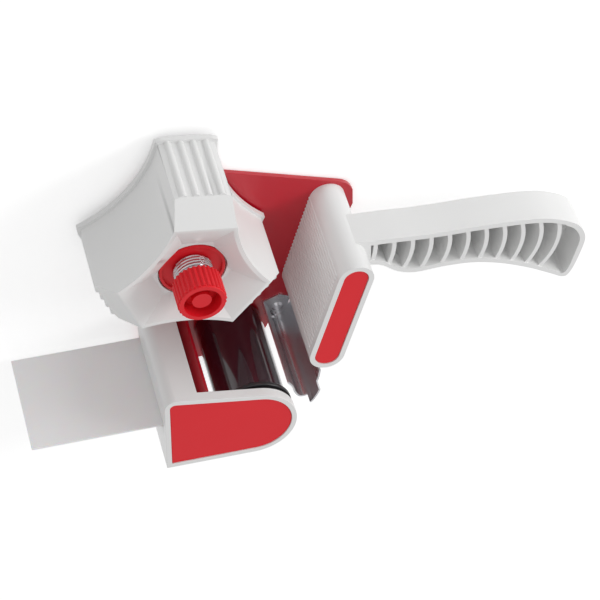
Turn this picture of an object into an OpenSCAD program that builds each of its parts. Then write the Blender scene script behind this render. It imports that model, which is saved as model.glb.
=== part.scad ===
// Hand-held packing tape dispenser: a bent steel side plate carries a braked
// three-lobed hub, a pressure roller, a wiper flap, a cutter and a grip.
// The hub axis is Z. The plate's outer face lies on z = 0.

/* [Tape] */
// Width of the tape that the dispenser takes
tape_w = 50; // [38:1:60]
// Radius over the hub's lobe ends, for a 76 mm tape core
hub_r = 37.6; // [30:0.2:38]

/* [Plate] */
// Thickness of the steel side plate
plate_t = 2; // [1.5:0.1:3]
// Thickness of the bent front flange
flange_t = 1.5; // [1:0.1:2.5]

/* [Hub] */
// Wall of the moulded hub
hub_wall = 2.2; // [1.6:0.1:3]
// Distance from hub axis to the flank between two lobes
waist_r = 22.6; // [21:0.2:26]
// Hollow radius of a flank
flank_r = 61; // [50:1:80]
// Depth of the dish in the hub's front
dish_depth = 9; // [6:0.5:12]
// Diameter of the hub spindle
spindle_d = 8; // [6:0.5:9]

/* [Brake] */
// Diameter of the tension knob
knob_d = 20; // [18:0.5:24]
// Height of the tension knob
knob_h = 11.5; // [9:0.5:14]
// Outer diameter of the tension spring
spring_d = 16.5; // [14:0.5:17.5]
// Wire diameter of the tension spring
wire_d = 1.4; // [1:0.1:1.8]

/* [Roller] */
// Radius of the roller's glossy sleeve
roller_r = 14.6; // [12:0.2:15.5]
// Radius of the roller's end rim
rim_r = 16.2; // [16:0.1:17]
// Diameter of the roller axle
axle_d = 6; // [5:0.5:8]

/* [Guard] */
// Wall of the front guard's end cap
cap_t = 4.5; // [4:0.1:6]
// Length of the wiper flap outside the guard
flap_len = 55; // [30:1:65]
// Thickness of the wiper flap
flap_t = 0.9; // [0.6:0.1:1.2]

/* [Handle] */
// Depth of the grip along the hub axis
grip_depth = 16.5; // [14:0.5:24]
// Wall of the moulded handle
handle_wall = 2.4; // [2:0.1:3]
// Number of cross ribs in the grip
rib_count = 11; // [8:1:12]
// Thickness of a cross rib
rib_t = 1.8; // [1.4:0.1:2.4]
// Width of the head block
head_w = 15; // [14:0.5:18]

/* [Blade] */
// Thickness of the cutter's sheet steel
blade_t = 0.8; // [0.6:0.1:1]
// Pitch of the cutter's teeth
tooth_pitch = 3.5; // [2.5:0.5:5]

/* [Hidden] */
$fn = 64;

// Clearances
run = 0.05;          // round running fits, on the radius
gap = 0.3;           // between pieces that move past each other
eps = 0.01;

// Levels along the hub axis
inner_z = plate_t;
front_z = inner_z + tape_w + 0.5;          // outer end of the tape space
washer_t = 1.2;
hub_z0 = inner_z + washer_t + 0.05;
hub_z1 = inner_z + tape_w - 6;
taper_z = hub_z1 - 10;
floor_z = hub_z1 - dish_depth;
floor_t = 3;

// Lobe outline: flank circles cut into a disc, lobe ends cut flat
lobe_phi = 81;
lobe_half = 11.5;
lobe_front_r = hub_r - 8.5;
flank_c = waist_r + flank_r;
rib_r = 1.5;
rim_w = 1.7;
dish_scale = 0.56;
core_r = spindle_d/2 + 4;

// Brake stack on the spindle
cup_t = 1.2;
cup_r = 13.5;
cup_rim = 2.4;
spring_z0 = floor_z + cup_t;
spring_z1 = hub_z1 - 0.6;
spring_turns = 4;
thrust_t = 1.2;
knob_z0 = spring_z1 + thrust_t;
knob_z1 = knob_z0 + knob_h;
spindle_z1 = knob_z1 - 1.5;
knob_drop = 2;         // furthest the knob screws in from its drawn place
shoulder_z = knob_z0 - knob_drop - gap;
thread_d = spindle_d - 2*run;

// Roller
roller_c = [22, -80];
roller_z0 = inner_z + 1.3;
rim_t = 1.8;
roller_z1 = front_z - 0.8;
sleeve_t = 1.2;
bush_r = 8.5;
bush_h = 9;
bush_lip = 0.8;
core_wall = 2.6;
clip_t = 0.8;
clip_groove = 0.5;

// Guard
guard_left = -17;
guard_bottom = -100.5;
cap_z0 = front_z + gap;
cap_z1 = cap_z0 + cap_t;
cap_end_c = [21, -82.5];
cap_end_r = 18;
cap_corner_c = [-12.5, -62.8];
cap_corner_r = 4.5;
flange_r = roller_r + 8.2;
flange_from = 144;
flange_to = 196;
wall_in_r = flange_r + flange_t + gap;
insert_t = 1.5;
border = 2.2;

// Wiper flap
flap_y = -79;
bead_r = 1.5;
bead_x = guard_left + 2.6;
groove_r = bead_r + run;
mouth = 50;           // half angle of the groove's mouth

// Head block: a bar with round ends between two centres
head_c0 = [53.5, -55.5];
head_c1 = [64.8, -12.2];
head_r = head_w/2;
head_z1 = front_z - 2.5;
head_angle = atan2(head_c1[1] - head_c0[1], head_c1[0] - head_c0[0]);
head_len = norm(head_c1 - head_c0);
ridge_r = 0.5;
ridge_sink = 0.15;
ridge_pitch = 2.1;

// Grip: stations of [x, top, bottom]
grip_z1 = inner_z + tape_w/2 + 9.5;
grip_z0 = grip_z1 - grip_depth;
grip_floor = 2.4;
stations = [[68, -5.4, -19.5], [78, -6, -20.5], [86, -6.6, -26.5], [94, -7.4, -29.2],
    [106, -8, -28.8], [118, -8.2, -29.6], [130, -8.8, -33], [142, -9.8, -38.6],
    [151, -11.6, -44], [158, -14.6, -48.6]];
butt = [[163, -18], [166, -22.5], [167.2, -28], [165.4, -37], [163, -45], [160.6, -48.8]];

// Cutter
lip = roller_c + 18.1*[cos(35), sin(35)];
blade_z0 = inner_z;
blade_z1 = front_z - 3.5;
tab_h = 4.5;
tab_from = 20;
tab_to = 28;
tooth_h = 3.2;
tooth_gap = 0.6;
screw_r = 1.75;
screw_head_r = 3.4;
screw_head_h = 1.6;
guard_screw_at = [[-9, -73], [-9, -92]];
handle_screw_at = [head_c0 + [1.2, 4], (head_c0 + head_c1)/2, head_c1 - [1.2, 4]];
guard_boss_h = 12;
head_boss_r = 4.2;
head_boss_h = 14;

function smooth(p, a) = let(n = len(p), i = max(0, min(n - 2, floor(a))), t = a - i,
    p0 = p[max(i - 1, 0)], p1 = p[i], p2 = p[i + 1], p3 = p[min(i + 2, n - 1)])
    0.5*(2*p1 + (p2 - p0)*t + (2*p0 - 5*p1 + 4*p2 - p3)*t*t + (3*p1 - p0 - 3*p2 + p3)*t*t*t);
function run_of(p, steps) = [for (i = [0:steps*(len(p) - 1)]) smooth(p, i/steps)];
grip_run = run_of(stations, 4);
butt_run = run_of(concat([[158, -14.6]], butt, [[158, -48.6]]), 3);
grip_outline = concat([for (s = grip_run) [s[0], s[1]]],
    [for (i = [1:len(butt_run) - 2]) butt_run[i]],
    [for (i = [len(grip_run) - 1:-1:0]) [grip_run[i][0], grip_run[i][2]]]);
// Butt points pulled towards the grip by one wall
butt_mid = [150, -30];
butt_in = [for (i = [1:len(butt_run) - 2])
    butt_run[i] - handle_wall*(butt_run[i] - butt_mid)/norm(butt_run[i] - butt_mid)];
grip_hollow = concat([for (s = grip_run) [s[0], s[1] - handle_wall]], butt_in,
    [for (i = [len(grip_run) - 1:-1:0]) [grip_run[i][0], grip_run[i][2] + handle_wall]]);

module tube(r, bore, h) {
    difference() {
        cylinder(r = r, h = h);
        translate([0, 0, -eps]) cylinder(r = bore, h = h + 2*eps);
    }
}

// Sector of a disc, from angle a0 to a1 in steps of 5 degrees
module sector(r, a0, a1) {
    polygon(concat([[0, 0]], [for (i = [0:12]) let(a = a0 + (a1 - a0)*i/12) r*[cos(a), sin(a)]]));
}

module bar2d(r) {
    translate(head_c0) rotate(head_angle) {
        circle(r = r);
        translate([0, -r]) square([head_len, 2*r]);
        translate([head_len, 0]) circle(r = r);
    }
}

// D-shaped outline of the guard's end cap, drawn in by d
module cap2d(d) {
    r = cap_end_r - d;
    c = cap_corner_r - d;
    a = atan2(cap_corner_c[1] - cap_end_c[1], cap_corner_c[0] - cap_end_c[0]);
    slope = a - acos((cap_end_r - cap_corner_r)/norm(cap_corner_c - cap_end_c));
    dir = [cos(slope), sin(slope)];
    translate(cap_end_c) circle(r = r);
    translate(cap_corner_c) circle(r = max(c, 0.6));
    polygon([cap_end_c + r*dir, cap_corner_c + max(c, 0.6)*dir,
        [guard_left + d, cap_corner_c[1]], [guard_left + d, guard_bottom + d],
        [cap_end_c[0], guard_bottom + d], cap_end_c]);
}

module countersink(z_top) {
    translate([0, 0, -eps]) cylinder(r = screw_r, h = z_top);
    translate([0, 0, -eps]) cylinder(r1 = screw_head_r, r2 = screw_r, h = screw_head_h);
}

module side_plate() {
    color("#c8102e") {
        difference() {
            linear_extrude(plate_t) polygon(plate_points);
            translate([0, 0, -eps]) cylinder(d = spindle_d, h = plate_t + 2*eps);
            translate([roller_c[0], roller_c[1], -eps]) cylinder(d = axle_d, h = plate_t + 2*eps);
            for (p = guard_screw_at) translate(p) countersink(plate_t + 1);
            for (p = handle_screw_at) translate(p) countersink(plate_t + 1);
            for (p = rivet_at) translate([p[0], p[1], -eps]) cylinder(r = rivet_r, h = plate_t + 2*eps);
        }
        translate([roller_c[0], roller_c[1], plate_t - eps]) linear_extrude(tape_w - 4 + eps)
            intersection() {
                difference() {
                    circle(r = flange_r + flange_t);
                    circle(r = flange_r);
                }
                sector(2*flange_r, flange_from, flange_to);
            }
    }
}
plate_hub_r = 19;
rivet_r = 1.6;
rivet_head_r = 2.6;
rivet_head_h = 0.9;
rivet_at = [lip + [7, -4.4]];
// Corners of the plate, with short runs for the round ones
plate_points = concat(
    [for (a = [90:-15:30]) [67.5, -13] + 8.8*[cos(a - 15), sin(a - 15)]],
    [[76.2, -19], [62, -60]],
    [for (a = [0:-15:-90]) [53.5, -55.5] + 8.4*[cos(a), sin(a)]],
    [[41, -82]],
    [for (a = [-20:-14:-90]) [22, -80] + 18.5*[cos(a), sin(a)]],
    [[-8, -99]],
    [for (a = [-90:-18:-180]) [-11, -93] + 5.5*[cos(a), sin(a)]],
    [[-16.5, -68]],
    [for (a = [180:-15:75]) plate_hub_r*[cos(a), sin(a)]]);

module hub_spindle() {
    color("#d01028") {
        cylinder(d = spindle_d, h = shoulder_z);
        translate([0, 0, shoulder_z - eps]) cylinder(d = thread_d, h = spindle_z1 - shoulder_z);
        translate([0, 0, plate_t]) cylinder(r = spindle_d/2 + 3, h = washer_t - 0.4);
    }
}

module hub_thrust_washer() {
    color("#e8e8e8") translate([0, 0, plate_t]) tube(13, spindle_d/2 + 3 + run, washer_t);
}

// Lobed outline drawn in by d; d below zero draws it out
module lobes2d(d, end_r = hub_r) {
    rotate(lobe_phi) difference() {
        circle(r = hub_r + 1.2 - d);
        for (k = [0:2]) {
            rotate(60 + 120*k) translate([flank_c, 0]) circle(r = flank_r + d, $fn = 160);
            rotate(120*k) translate([end_r - d, -40]) square([40, 80]);
        }
    }
}

module lobe_taper(d) {
    angle = atan2(hub_r - lobe_front_r, hub_z1 - taper_z);
    for (k = [0:2])
        rotate(lobe_phi + 120*k) translate([hub_r - d, -40, taper_z])
            rotate([0, -angle, 0]) cube([40, 80, 60]);
}

module hub() {
    color("#f4f4f4") {
        difference() {
            union() {
                difference() {
                    translate([0, 0, hub_z0]) linear_extrude(hub_z1 - hub_z0) lobes2d(0);
                    lobe_taper(0);
                }
                translate([0, 0, hub_z0]) linear_extrude(2.4) lobes2d(-1.4);
                for (k = [0:2], i = [-1.5:1:1.5])
                    rotate(lobe_phi + 120*k) translate([hub_r - 0.5, i*5.2, hub_z0])
                        cylinder(r = rib_r, h = taper_z - hub_z0, $fn = 24);
            }
            // Inside of the shell, open at the back
            difference() {
                translate([0, 0, hub_z0 - eps]) linear_extrude(floor_z - floor_t - hub_z0) lobes2d(hub_wall);
                lobe_taper(hub_wall);
                translate([0, 0, hub_z0 - 1]) cylinder(r = core_r, h = hub_z1);
            }
            // Dish in the front: a seat for the cup, opening out to the lobed rim
            translate([0, 0, floor_z]) cylinder(r = cup_r + 0.6, h = dish_depth + eps);
            translate([0, 0, hub_z1 + eps]) mirror([0, 0, 1])
                linear_extrude(dish_depth - cup_rim, scale = dish_scale)
                    lobes2d(rim_w, end_r = lobe_front_r);
            translate([0, 0, hub_z0 - 1]) cylinder(r = spindle_d/2 + run, h = hub_z1);
        }
    }
}

module brake_cup() {
    color("#d01028") translate([0, 0, floor_z]) difference() {
        union() {
            tube(cup_r, spindle_d/2 + run, cup_t);
            tube(cup_r, cup_r - 1.3, cup_rim);
        }
    }
}

spring_coil_r = (spring_d - wire_d)/2;
spring_sides = 8;
spring_steps = 20;
module tension_spring() {
    n = spring_turns*spring_steps;
    z0 = spring_z0 + wire_d/2;
    rise = spring_z1 - spring_z0 - wire_d;
    pts = [for (i = [0:n], j = [0:spring_sides - 1])
        let(a = 360*i/spring_steps, b = 360*j/spring_sides, r = spring_coil_r + wire_d/2*cos(b))
        [r*cos(a), r*sin(a), z0 + rise*i/n + wire_d/2*sin(b)]];
    m = spring_sides;
    sides = [for (i = [0:n - 1], j = [0:m - 1])
        [i*m + j, i*m + (j + 1)%m, (i + 1)*m + (j + 1)%m, (i + 1)*m + j]];
    color("#d0d0d4") polyhedron(pts, concat([[for (j = [m - 1:-1:0]) j]], sides,
        [[for (j = [0:m - 1]) n*m + j]]), convexity = 8);
}

module thrust_washer() {
    color("#d0d0d4") translate([0, 0, spring_z1]) tube(spring_d/2 + 0.6, spindle_d/2 + run, thrust_t);
}

module tension_knob() {
    boss_r = spindle_d/2 + 2;
    web_h = 4.5;
    knob_recess = 6;
    color("#e0182c") translate([0, 0, knob_z0]) {
        difference() {
            union() {
                cylinder(d = knob_d - 1.2, h = knob_h);
                for (i = [0:29]) rotate(12*i) translate([knob_d/2 - 0.7, 0, 0])
                    cylinder(r = 0.7, h = knob_h - 0.8, $fn = 16);
            }
            translate([0, 0, web_h]) tube(knob_d/2 - 2.4, boss_r, knob_h);
            translate([0, 0, -eps]) cylinder(d = thread_d + 2*run, h = knob_h + 2*eps);
            translate([0, 0, knob_h - knob_recess]) cylinder(r = boss_r + eps, h = knob_recess + 1);
        }
    }
}

module at_roller(z) { translate([roller_c[0], roller_c[1], z]) children(); }

clip_z = roller_z1 - 2.2;
module roller_axle() {
    color("#b8b8bc") at_roller(0) difference() {
        cylinder(d = axle_d, h = cap_z0 + 2);
        translate([0, 0, clip_z]) tube(axle_d/2 + 1, axle_d/2 - clip_groove, clip_t + 0.1);
    }
}

core_r_out = roller_r - sleeve_t;
module roller_core() {
    color("#1c1a1c") at_roller(roller_z0) {
        difference() {
            union() {
                cylinder(r = core_r_out, h = roller_z1 - roller_z0);
                translate([0, 0, roller_z1 - roller_z0 - rim_t]) cylinder(r = rim_r, h = rim_t);
            }
            translate([0, 0, -eps]) cylinder(r = bush_r, h = roller_z1 - roller_z0 + 2*eps);
        }
    }
}

module roller_sleeve() {
    color("#2a2024") at_roller(roller_z0) tube(roller_r, core_r_out, roller_z1 - roller_z0 - rim_t);
}

module roller_bush_lower() {
    color("#e0e0e0") at_roller(roller_z0) tube(bush_r, axle_d/2 + run, bush_h);
}

module roller_bush_upper() {
    color("#e0e0e0") at_roller(clip_z - 0.3 - bush_h) tube(bush_r, axle_d/2 + run, bush_h);
}

module axle_washer() {
    color("#c8c8cc") at_roller(plate_t) tube(6.5, axle_d/2 + run, roller_z0 - plate_t - 0.1);
}

module axle_clip() {
    color("#909094") at_roller(clip_z + 0.05) difference() {
        tube(axle_d/2 + 2.2, axle_d/2 - clip_groove, clip_t);
        translate([0, -1.6, -eps]) cube([10, 3.2, clip_t + 1]);
    }
}

module front_guard() {
    color("#f4f4f4") difference() {
        union() {
            translate([0, 0, cap_z0]) linear_extrude(cap_t) cap2d(0);
            // Curved front wall between the cap's outline and the flange
            translate([0, 0, plate_t]) linear_extrude(cap_z0 - plate_t + eps) difference() {
                cap2d(0);
                translate(roller_c) circle(r = wall_in_r, $fn = 96);
                translate([-2.5, -150]) square([100, 200]);
                translate([guard_left + 16, -140]) square([80, 51]);
            }
        }
        translate([0, 0, cap_z1 - insert_t]) linear_extrude(insert_t + 1) cap2d(border);
        at_roller(cap_z0 - 1) cylinder(r = axle_d/2 + run, h = 3.1);
        // Groove for the flap's bead, with its mouth on the left
        translate([bead_x, flap_y, plate_t - 1]) cylinder(r = groove_r, h = cap_z0 - plate_t + 1);
        translate([bead_x, flap_y, plate_t - 1]) linear_extrude(cap_z0 - plate_t + 1) sector(9, 180 - mouth, 180 + mouth);
        for (p = guard_screw_at) translate([p[0], p[1], 0]) cylinder(r = screw_r, h = guard_boss_h);
    }
}

module front_guard_insert() {
    color("#e0182c") translate([0, 0, cap_z1 - insert_t]) linear_extrude(insert_t - 0.3) cap2d(border + 0.1);
}

module screws(at, length) {
    for (p = at) translate([p[0], p[1], 0]) {
        cylinder(r1 = screw_head_r - 0.02, r2 = screw_r - 0.02, h = screw_head_h);
        cylinder(r = screw_r - 0.02, h = length);
    }
}

module guard_screws() { color("#a8a8ac") screws(guard_screw_at, guard_boss_h - 1); }
module handle_screws() { color("#a8a8ac") screws(handle_screw_at, head_boss_h - 1); }

module wiper_flap() {
    color("#f0f0f0") translate([0, 0, plate_t + gap]) {
        h = tape_w - 1;
        translate([bead_x, flap_y, 0]) cylinder(r = bead_r, h = h);
        translate([guard_left - flap_len, flap_y - flap_t/2, 0])
            cube([flap_len + bead_x - guard_left, flap_t, h]);
    }
}

// Section of the cutter, from the lip by the roller down and up to the head
blade_run = run_of([lip, lip + [1.9, -3.2], lip + [3, -7], lip + [5.2, -10.2], lip + [9, -10],
    lip + [12, -5.5], lip + [13.6, -0.5], lip + [14.3, 4.2]], 5);
function normal_at(p, i) = let(d = p[min(i + 1, len(p) - 1)] - p[max(i - 1, 0)]) [-d[1], d[0]]/norm(d);
// Strip of the cutter's section between two of its points
function strip(a, b) = concat([for (i = [a:b]) blade_run[i]],
    [for (i = [b:-1:a]) blade_run[i] + blade_t*normal_at(blade_run, i)]);
module blade() {
    n = len(blade_run);
    color("#c4c4ca") {
        translate([0, 0, blade_z0]) linear_extrude(blade_z1 - blade_z0) polygon(strip(0, n - 1));
        // Tab on the free end
        translate([0, 0, blade_z1 - eps]) linear_extrude(tab_h) polygon(strip(tab_from, tab_to));
        // Foot on the plate, inside the trough
        translate([0, 0, blade_z0]) difference() {
            linear_extrude(blade_t) polygon([lip + [0.8, -0.1], lip + [2.5, -3.4], lip + [3.6, -6.9],
                lip + [5.6, -9.5], lip + [8.7, -9.3], lip + [11.2, -5.3], lip + [12.6, 0.5], lip + [8, 3]]);
            translate([rivet_at[0][0], rivet_at[0][1], -1]) cylinder(r = rivet_r, h = 5);
        }
        // Toothed edge below the trough
        translate([0, 0, blade_z0]) tooth_row();
    }
}

module tooth_row() {
    count = floor((blade_z1 - blade_z0 - 2)/tooth_pitch);
    root = lip + [7, -10.6];
    for (i = [0:count - 1])
        translate([root[0], root[1], 1 + (i + 0.5)*tooth_pitch]) rotate([0, 0, -60]) rotate([90, 0, 90])
            linear_extrude(tooth_h) square([blade_t, tooth_pitch - tooth_gap], center = true);
}

module blade_rivets() {
    color("#b0b0b4") for (p = rivet_at) translate([p[0], p[1], 0]) {
        cylinder(r = rivet_r, h = plate_t + blade_t);
        translate([0, 0, plate_t + blade_t]) cylinder(r1 = rivet_head_r, r2 = 1.6, h = rivet_head_h);
    }
}

module handle() {
    color("#f4f4f4") {
        difference() {
            union() {
                translate([0, 0, plate_t]) linear_extrude(head_z1 - plate_t) bar2d(head_r);
                translate([0, 0, grip_z0]) linear_extrude(grip_depth) polygon(grip_outline);
                // Ridges on the face beside the roller
                translate([head_c0[0], head_c0[1], plate_t]) rotate(head_angle)
                    for (i = [1:floor(head_len/ridge_pitch)])
                        translate([i*ridge_pitch, head_r - ridge_sink, 0])
                            cylinder(r = ridge_r, h = head_z1 - plate_t - 3, $fn = 16);
            }
            // Hollow head, open towards the plate, with its screw bosses
            difference() {
                translate([0, 0, plate_t - 1]) linear_extrude(head_z1 - plate_t - insert_t - 1.8)
                    bar2d(head_r - handle_wall);
                for (p = handle_screw_at) translate([p[0], p[1], 0]) cylinder(r = head_boss_r, h = head_z1);
            }
            translate([0, 0, head_z1 - insert_t]) linear_extrude(insert_t + 1) bar2d(head_r - border);
            for (p = handle_screw_at) translate([p[0], p[1], 0]) cylinder(r = screw_r, h = head_boss_h);
            // Grip channel, open towards the free end
            difference() {
                translate([0, 0, grip_z0 + grip_floor]) linear_extrude(grip_depth) intersection() {
                    polygon(grip_hollow);
                    translate([74.5, -100]) square([200, 120]);
                }
                grip_ribs();
            }
        }
    }
}

rib_x0 = 81;
rib_pitch = 7.9;
rib_bow_r = 30;
module grip_ribs() {
    for (i = [0:rib_count - 1])
        translate([rib_x0 + i*rib_pitch - 3.5 - rib_bow_r, -10 - i*1.1, 0]) linear_extrude(grip_z1 - 0.6)
            intersection() {
                difference() {
                    circle(r = rib_bow_r, $fn = 96);
                    circle(r = rib_bow_r - rib_t, $fn = 96);
                }
                translate([0, -60]) square([60, 80]);
            }
}

module head_insert() {
    color("#e0182c") translate([0, 0, head_z1 - insert_t]) linear_extrude(insert_t - 0.3) bar2d(head_r - border - 0.1);
}

side_plate();
hub_spindle();
hub_thrust_washer();
hub();
brake_cup();
tension_spring();
thrust_washer();
tension_knob();
roller_axle();
roller_core();
roller_sleeve();
roller_bush_lower();
roller_bush_upper();
axle_washer();
axle_clip();
front_guard();
front_guard_insert();
guard_screws();
wiper_flap();
blade();
blade_rivets();
handle();
head_insert();
handle_screws();
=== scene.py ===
import math

import bpy
from mathutils import Matrix, Vector


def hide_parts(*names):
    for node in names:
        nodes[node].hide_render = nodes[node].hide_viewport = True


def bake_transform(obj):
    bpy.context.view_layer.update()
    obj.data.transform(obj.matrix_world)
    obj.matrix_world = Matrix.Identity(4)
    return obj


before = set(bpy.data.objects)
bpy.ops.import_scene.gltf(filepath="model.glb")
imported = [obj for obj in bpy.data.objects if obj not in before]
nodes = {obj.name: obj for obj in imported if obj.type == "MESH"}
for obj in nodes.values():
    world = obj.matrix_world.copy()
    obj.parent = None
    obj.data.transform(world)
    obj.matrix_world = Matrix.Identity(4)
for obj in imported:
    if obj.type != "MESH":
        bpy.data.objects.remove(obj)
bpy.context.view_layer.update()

scene = bpy.context.scene
MM = 0.001

# Rounded edges
WELD_DISTANCE = 0.002 * MM
FLAT_ANGLE = 0.6          # degrees between faces that count as one plane
EDGE_ANGLE = 32           # degrees from which an edge is rounded
EDGE_SEGMENTS = 3

# Floor and light
FLOOR_SIZE = 12
FLOOR_DROP = 0.4 * MM     # below the lowest face, so that the two don't flicker
FLOOR_GLOW = 0.42
WORLD_LIT = 0.80
WORLD_SEEN = 1.0
KEY_POWER = 14.0
SIDE_POWER = 5.5

# Colour ramp positions between which noise varies a socket
RAMP_LOW = 0.3
RAMP_HIGH = 0.7

GRAIN = 0.02 * MM         # depth of the grain on moulded plastic


# ---------------------------------------------------------------- camera
def make_camera():
    """A long lens above the free end, looking down on the roller side, as a product shot."""
    place = Vector((-142.2, 801.2, 752.9)) * MM
    forward = Vector((0.1678, -0.7481, -0.6421)).normalized()
    up = Vector((0.1770, 0.6636, -0.7269))
    right = forward.cross(up).normalized()
    up = right.cross(forward)
    data = bpy.data.cameras.new("camera")
    data.sensor_width = 36
    data.lens = 163.5
    data.clip_end = 20
    cam = bpy.data.objects.new("camera", data)
    turn = Matrix((right, up, -forward)).transposed().to_4x4()
    cam.matrix_world = Matrix.Translation(place) @ turn
    scene.collection.objects.link(cam)
    scene.camera = cam
    return right, up, forward


cam_right, cam_up, cam_forward = make_camera()


# ---------------------------------------------------------------- shader helpers
def new_material(name, color, roughness, metallic=0.0, **sockets):
    mat = bpy.data.materials.new(name)
    mat.use_nodes = True
    shader = mat.node_tree.nodes["Principled BSDF"]
    shader.inputs["Base Color"].default_value = (*color, 1)
    shader.inputs["Roughness"].default_value = roughness
    shader.inputs["Metallic"].default_value = metallic
    for key, value in sockets.items():
        shader.inputs[key.replace("_", " ")].default_value = value
    return mat


def noise(mat, scale, detail=4.0, stretch=(1, 1, 1)):
    """Noise over the object's own coordinates, with scale in cycles per metre."""
    tree = mat.node_tree
    coord = tree.nodes.new("ShaderNodeTexCoord")
    mapping = tree.nodes.new("ShaderNodeMapping")
    mapping.inputs["Scale"].default_value = stretch
    tex = tree.nodes.new("ShaderNodeTexNoise")
    tex.inputs["Scale"].default_value = scale
    tex.inputs["Detail"].default_value = detail
    tree.links.new(coord.outputs["Object"], mapping.inputs["Vector"])
    tree.links.new(mapping.outputs["Vector"], tex.inputs["Vector"])
    return tex.outputs["Fac"]


def add_bump(mat, height, distance, strength=1.0):
    """Bump from a height of 0 to 1, with its full depth in metres."""
    tree = mat.node_tree
    bump = tree.nodes.new("ShaderNodeBump")
    bump.inputs["Distance"].default_value = distance
    bump.inputs["Strength"].default_value = strength
    tree.links.new(height, bump.inputs["Height"])
    tree.links.new(bump.outputs["Normal"], tree.nodes["Principled BSDF"].inputs["Normal"])


def vary(mat, factor, socket, low, high):
    """Links a factor to a socket of the main shader, between two values or two colours."""
    tree = mat.node_tree
    ramp = tree.nodes.new("ShaderNodeValToRGB")
    ramp.color_ramp.elements[0].position = RAMP_LOW
    ramp.color_ramp.elements[1].position = RAMP_HIGH
    as_color = isinstance(low, tuple)
    ramp.color_ramp.elements[0].color = (*low, 1) if as_color else (low, low, low, 1)
    ramp.color_ramp.elements[1].color = (*high, 1) if as_color else (high, high, high, 1)
    tree.links.new(factor, ramp.inputs["Fac"])
    tree.links.new(ramp.outputs["Color"], tree.nodes["Principled BSDF"].inputs[socket])


def shade(color, share):
    """The colour darkened to that share of itself."""
    return tuple(channel * share for channel in color)


# ---------------------------------------------------------------- materials
def moulded(name, color, roughness, coat=0.0, specular=0.5):
    """Moulded plastic: a fine spark-eroded grain, slow flow marks and uneven gloss."""
    mat = new_material(
        name, color, roughness,
        Coat_Weight=coat, Coat_Roughness=0.15, Specular_IOR_Level=specular,
    )
    vary(mat, noise(mat, 22, 3), "Base Color", shade(color, 0.965), color)
    vary(mat, noise(mat, 60, 5), "Roughness", roughness - 0.05, roughness + 0.06)
    add_bump(mat, noise(mat, 2600, 3), GRAIN)
    return mat


def red_paint():
    """Baked enamel over sheet steel: glossy, with a faint orange peel."""
    color = (0.56, 0.003, 0.018)
    mat = new_material("red_enamel", color, 0.30, Coat_Weight=0.4, Coat_Roughness=0.08)
    vary(mat, noise(mat, 30, 3), "Base Color", shade(color, 0.92), color)
    add_bump(mat, noise(mat, 420, 2), 0.03 * MM, 0.6)
    return mat


def polished(name, color, roughness, streak=(1, 1, 1)):
    """Bright metal with uneven polish; streak stretches its marks along an axis."""
    mat = new_material(name, color, roughness, metallic=1.0)
    vary(mat, noise(mat, 120, 5, streak), "Roughness", roughness * 0.7, roughness * 1.5)
    add_bump(mat, noise(mat, 900, 4, streak), 0.008 * MM)
    return mat


def roller_gloss():
    """Dark glossy sleeve with a clear coat; lighter purplish streaks along its axis in the base
    colour are painted reflection, and a faint bump runs along the axis.
    """
    color = (0.020, 0.009, 0.013)
    mat = new_material("roller_gloss", color, 0.16, Coat_Weight=1.0, Coat_Roughness=0.04)
    # painted reflection: lighter purplish streaks along the roller's axis, painted into the base
    # colour
    vary(mat, noise(mat, 45, 4, (1, 1, 0.15)), "Base Color", color, (0.045, 0.016, 0.026))
    add_bump(mat, noise(mat, 160, 2, (1, 1, 0.2)), 0.04 * MM, 0.5)
    return mat


def flap_sheet():
    """Thin whitish sheet that lets a little light into it."""
    color = (0.91, 0.91, 0.915)
    mat = new_material(
        "flap_sheet", color, 0.34, Subsurface_Weight=0.25, Subsurface_Scale=2 * MM
    )
    vary(mat, noise(mat, 18, 3), "Base Color", shade(color, 0.97), color)
    add_bump(mat, noise(mat, 700, 3, (1, 1, 0.3)), 0.012 * MM)
    return mat


white = moulded("white_moulding", (0.85, 0.85, 0.845), 0.40)
red = moulded("red_moulding", (0.80, 0.012, 0.022), 0.36, specular=0.35)
acetal = moulded("acetal", (0.74, 0.74, 0.71), 0.35)
black = moulded("black_moulding", (0.016, 0.015, 0.017), 0.30, coat=0.4)
zinc = polished("bright_zinc", (0.74, 0.74, 0.77), 0.18)
chrome = polished("spring_chrome", (0.80, 0.80, 0.82), 0.10)
cutter = polished("cutter_steel", (0.74, 0.74, 0.76), 0.27, (1, 1, 0.06))
enamel = red_paint()

FINISH = {
    "side_plate": enamel, "hub_spindle": red, "hub_thrust_washer": acetal, "hub": white,
    "brake_cup": red, "tension_spring": chrome, "thrust_washer": zinc, "tension_knob": red,
    "roller_axle": zinc, "roller_core": black, "roller_sleeve": roller_gloss(),
    "roller_bush_lower": acetal, "roller_bush_upper": acetal, "axle_washer": zinc,
    "axle_clip": zinc, "front_guard": white, "front_guard_insert": red, "guard_screws": zinc,
    "wiper_flap": flap_sheet(), "blade": cutter, "blade_rivets": zinc, "handle": white,
    "head_insert": red, "handle_screws": zinc,
}


def finish_nodes():
    """Gives each CAD node its material."""
    for name, mat in FINISH.items():
        data = nodes[name].data
        data.materials.clear()
        data.materials.append(mat)


finish_nodes()


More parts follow.
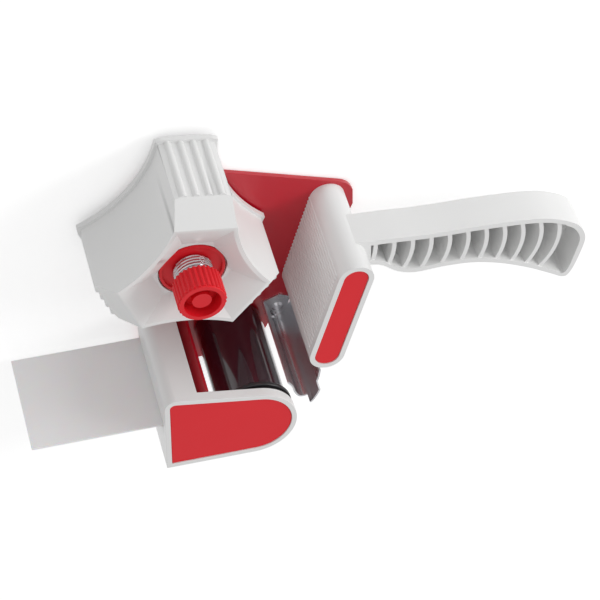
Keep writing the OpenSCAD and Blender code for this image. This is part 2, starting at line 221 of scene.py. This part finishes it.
# ---------------------------------------------------------------- rounded edges
def soften(name, width):
    """Rounds a CAD node's edges with modifiers; its own mesh stays as it is."""
    piece = nodes[name]
    weld = piece.modifiers.new("weld", "WELD")
    weld.merge_threshold = WELD_DISTANCE
    flat = piece.modifiers.new("flat", "DECIMATE")
    flat.decimate_type = "DISSOLVE"
    flat.angle_limit = math.radians(FLAT_ANGLE)
    bevel = piece.modifiers.new("edges", "BEVEL")
    bevel.width = width
    bevel.segments = EDGE_SEGMENTS
    bevel.limit_method = "ANGLE"
    bevel.angle_limit = math.radians(EDGE_ANGLE)
    bevel.use_clamp_overlap = True
    bevel.harden_normals = False
    normals = piece.modifiers.new("normals", "WEIGHTED_NORMAL")
    normals.keep_sharp = False
    piece.data.polygons.foreach_set("use_smooth", [True] * len(piece.data.polygons))


EDGES = {
    "hub": 0.8 * MM, "front_guard": 0.7 * MM, "handle": 0.6 * MM, "front_guard_insert": 0.35 * MM,
    "head_insert": 0.35 * MM, "tension_knob": 0.25 * MM, "side_plate": 0.25 * MM,
    "brake_cup": 0.25 * MM, "hub_spindle": 0.4 * MM, "roller_core": 0.3 * MM,
    "roller_sleeve": 0.2 * MM, "wiper_flap": 0.2 * MM, "blade": 0.12 * MM,
    "thrust_washer": 0.15 * MM,
}
for edge_node, edge_width in EDGES.items():
    soften(edge_node, edge_width)


# ---------------------------------------------------------------- brake spring
def make_spring():
    """A copy of the spring, put in place of the CAD node, which is hidden."""
    node = nodes["tension_spring"]
    spring = bpy.data.objects.new("brake_spring", node.data.copy())
    spring.matrix_world = node.matrix_world.copy()
    scene.collection.objects.link(spring)
    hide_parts("tension_spring")
    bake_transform(spring)


make_spring()


# ---------------------------------------------------------------- floor and light
def make_floor():
    """A pale floor: to the camera it is near white, and it keeps the object's shadow."""
    bpy.ops.mesh.primitive_plane_add(size=FLOOR_SIZE, location=(0, 0, -FLOOR_DROP))
    floor = bpy.context.object
    floor.name = "floor"
    mat = bpy.data.materials.new("floor")
    mat.use_nodes = True
    tree = mat.node_tree
    tree.nodes.clear()
    out = tree.nodes.new("ShaderNodeOutputMaterial")
    diffuse = tree.nodes.new("ShaderNodeBsdfDiffuse")
    diffuse.inputs["Color"].default_value = (0.86, 0.86, 0.86, 1)
    glow = tree.nodes.new("ShaderNodeEmission")
    glow.inputs["Strength"].default_value = FLOOR_GLOW
    both = tree.nodes.new("ShaderNodeAddShader")
    path = tree.nodes.new("ShaderNodeLightPath")
    pick = tree.nodes.new("ShaderNodeMixShader")
    seen = tree.nodes.new("ShaderNodeMath")
    seen.operation = "MAXIMUM"
    tree.links.new(path.outputs["Is Camera Ray"], seen.inputs[0])
    tree.links.new(path.outputs["Is Glossy Ray"], seen.inputs[1])
    tree.links.new(diffuse.outputs[0], both.inputs[0])
    tree.links.new(glow.outputs[0], both.inputs[1])
    tree.links.new(seen.outputs[0], pick.inputs["Fac"])
    tree.links.new(diffuse.outputs[0], pick.inputs[1])
    tree.links.new(both.outputs[0], pick.inputs[2])
    tree.links.new(pick.outputs[0], out.inputs["Surface"])
    floor.data.materials.append(mat)


def make_world():
    """Even white light, a little brighter to the camera than it lights the object."""
    world = bpy.data.worlds.new("studio")
    scene.world = world
    world.use_nodes = True
    tree = world.node_tree
    tree.nodes.clear()
    out = tree.nodes.new("ShaderNodeOutputWorld")
    lit = tree.nodes.new("ShaderNodeBackground")
    lit.inputs["Strength"].default_value = WORLD_LIT
    seen = tree.nodes.new("ShaderNodeBackground")
    seen.inputs["Strength"].default_value = WORLD_SEEN
    path = tree.nodes.new("ShaderNodeLightPath")
    pick = tree.nodes.new("ShaderNodeMixShader")
    tree.links.new(path.outputs["Is Camera Ray"], pick.inputs["Fac"])
    tree.links.new(lit.outputs[0], pick.inputs[1])
    tree.links.new(seen.outputs[0], pick.inputs[2])
    tree.links.new(pick.outputs[0], out.inputs["Surface"])


def area(name, place, target, size, power):
    """A rectangular lamp at a place, turned to face the target."""
    data = bpy.data.lights.new(name, "AREA")
    data.shape = "RECTANGLE"
    data.size, data.size_y = size
    data.energy = power
    lamp = bpy.data.objects.new(name, data)
    lamp.location = place
    lamp.rotation_euler = (Vector(target) - Vector(place)).to_track_quat("-Z", "Y").to_euler()
    scene.collection.objects.link(lamp)


make_floor()
make_world()
middle = Vector((0.04, -0.04, 0.02))
key_place = middle + 0.9 * cam_up - 0.55 * cam_forward - 0.35 * cam_right
area("key", key_place, middle, (0.7, 0.5), KEY_POWER)
side_place = middle + 1.0 * cam_right - 0.4 * cam_forward + 0.2 * cam_up
area("side", side_place, middle, (0.3, 0.9), SIDE_POWER)

scene.view_settings.view_transform = "Standard"
